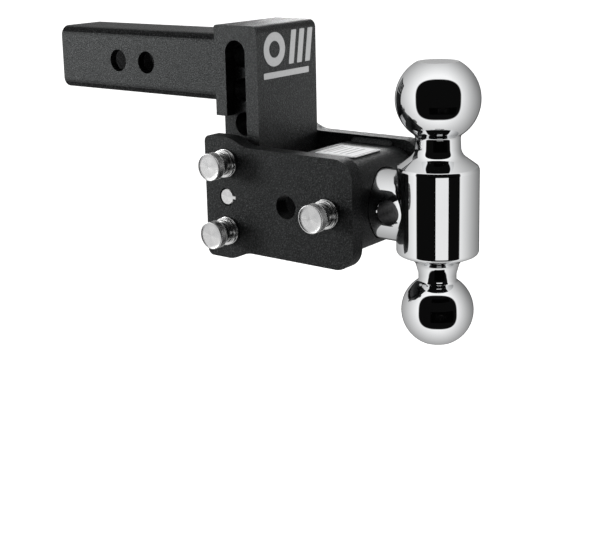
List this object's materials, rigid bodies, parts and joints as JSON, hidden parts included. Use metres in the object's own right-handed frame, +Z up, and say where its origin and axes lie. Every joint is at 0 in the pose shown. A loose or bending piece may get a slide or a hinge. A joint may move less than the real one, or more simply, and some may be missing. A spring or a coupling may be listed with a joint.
{
  "type": "trailer hitch ball mount",
  "caption": "Square-shank trailer hitch with a drilled post, a ball mount held by knurled cross pins, and a chromed dual tow ball.",
  "frame": {"origin": "centre of the shank's lower face under the hitch-pin hole", "axes": "+X rearward along the shank to the ball, +Y to the vehicle's right, +Z up"},
  "size_m": [0.3753, 0.127, 0.2194],
  "materials": {
    "black_powder_coat": "fine-textured satin black powder coat on steel",
    "chrome_plate": "mirror-bright chrome plate on a steel forging",
    "zinc_plate": "bright turned steel, clear zinc plate",
    "plain_steel": "ground steel",
    "bronze_bush": "dull bronze bearing liner",
    "label_silver": "silver film label with a dark border, blank"
  },
  "bodies": {
    "frame": {"shank_tube": "black_powder_coat", "shank_weld": "black_powder_coat", "post_channel": "black_powder_coat", "post_column": "black_powder_coat", "left_side_plate": "black_powder_coat", "right_side_plate": "black_powder_coat", "ball_housing": "black_powder_coat", "shaft_sleeve": "bronze_bush", "housing_weld_left_top": "black_powder_coat", "housing_weld_left_bottom": "black_powder_coat", "housing_weld_right_top": "black_powder_coat", "housing_weld_right_bottom": "black_powder_coat", "label_plate": "label_silver", "dual_ball": "chrome_plate", "catch_circlip": "plain_steel", "catch_spring": "plain_steel"},
    "upper_pin": {"upper_pin_rod": "plain_steel", "upper_pin_collar": "zinc_plate", "upper_pin_knob": "zinc_plate", "upper_pin_detent_spring": "plain_steel"},
    "upper_pin_ball": {"upper_pin_detent_ball": "plain_steel"},
    "lower_pin": {"lower_pin_rod": "plain_steel", "lower_pin_collar": "zinc_plate", "lower_pin_knob": "zinc_plate", "lower_pin_detent_spring": "plain_steel"},
    "lower_pin_ball": {"lower_pin_detent_ball": "plain_steel"},
    "ball_pin": {"ball_pin_rod": "plain_steel", "ball_pin_collar": "zinc_plate", "ball_pin_knob": "zinc_plate", "ball_pin_detent_spring": "plain_steel"},
    "ball_pin_ball": {"ball_pin_detent_ball": "plain_steel"},
    "catch": {"catch_plunger": "zinc_plate"}
  },
  "joints": [
    {"name": "upper_pin_slide", "type": "slide", "parent": "frame", "child": "upper_pin", "axis": [0, -1, 0], "range_m": [0, 0.115]},
    {"name": "upper_pin_detent", "type": "slide", "parent": "upper_pin", "child": "upper_pin_ball", "axis": [0, 0, -1], "range_m": [0, 0.0006], "stiffness_N_per_m": 1500, "springref_m": -0.0012, "deforming": ["upper_pin_detent_spring"]},
    {"name": "lower_pin_slide", "type": "slide", "parent": "frame", "child": "lower_pin", "axis": [0, -1, 0], "range_m": [0, 0.115]},
    {"name": "lower_pin_detent", "type": "slide", "parent": "lower_pin", "child": "lower_pin_ball", "axis": [0, 0, -1], "range_m": [0, 0.0006], "stiffness_N_per_m": 1500, "springref_m": -0.0012, "deforming": ["lower_pin_detent_spring"]},
    {"name": "ball_pin_slide", "type": "slide", "parent": "frame", "child": "ball_pin", "axis": [0, -1, 0], "range_m": [0, 0.115]},
    {"name": "ball_pin_detent", "type": "slide", "parent": "ball_pin", "child": "ball_pin_ball", "axis": [0, 0, -1], "range_m": [0, 0.0006], "stiffness_N_per_m": 1500, "springref_m": -0.0012, "deforming": ["ball_pin_detent_spring"]},
    {"name": "catch_slide", "type": "slide", "parent": "frame", "child": "catch", "axis": [0, -1, 0], "range_m": [0, 0.0028], "stiffness_N_per_m": 3000, "springref_m": -0.003, "deforming": ["catch_spring"]}
  ]
}
